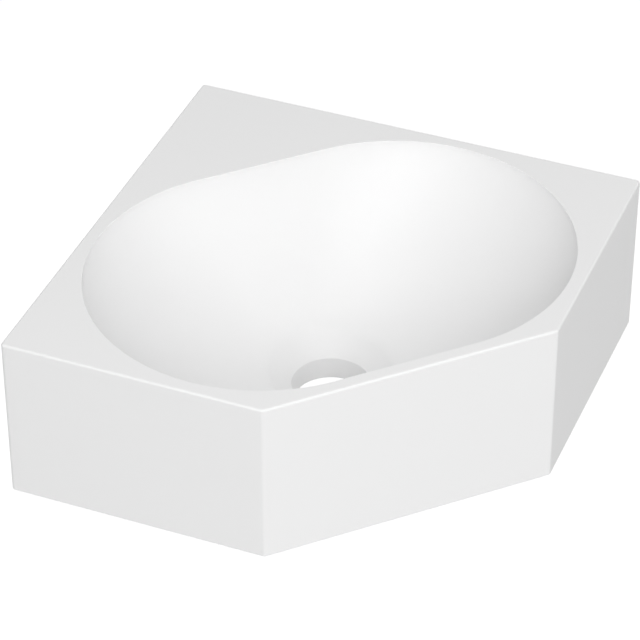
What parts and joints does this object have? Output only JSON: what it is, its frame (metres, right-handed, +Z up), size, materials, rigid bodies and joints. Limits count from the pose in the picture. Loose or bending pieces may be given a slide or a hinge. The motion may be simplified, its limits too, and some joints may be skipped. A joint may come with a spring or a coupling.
{
  "type": "corner basin",
  "caption": "Wall-hung corner basin with a cut-off front corner, a long round-ended bowl, a plain waste hole in its floor and hidden wall brackets under the deck.",
  "frame": {"origin": "on the axis of the waste hole, at the level of the underside", "axes": "+X to the right as seen from the room, +Y back into the room corner, +Z up along the waste hole"},
  "size_m": [0.4222, 0.3288, 0.112],
  "materials": {
    "cast_mineral": "matt white cast mineral",
    "bracket_steel": "brushed stainless",
    "pad_rubber": "matt black rubber",
    "bush_nylon": "natural nylon",
    "insert_brass": "turned brass",
    "washer_steel": "plain stainless",
    "screw_steel": "plain stainless"
  },
  "bodies": {
    "root": {"basin_body": "cast_mineral", "left_bracket": "bracket_steel", "left_pad": "pad_rubber", "left_fixing_bush": "bush_nylon", "left_inner_insert": "insert_brass", "left_inner_washer": "washer_steel", "left_inner_screw": "screw_steel", "left_outer_insert": "insert_brass", "left_outer_washer": "washer_steel", "left_outer_screw": "screw_steel", "right_bracket": "bracket_steel", "right_pad": "pad_rubber", "right_fixing_bush": "bush_nylon", "right_inner_insert": "insert_brass", "right_inner_washer": "washer_steel", "right_inner_screw": "screw_steel", "right_outer_insert": "insert_brass", "right_outer_washer": "washer_steel", "right_outer_screw": "screw_steel"}
  },
  "joints": []
}
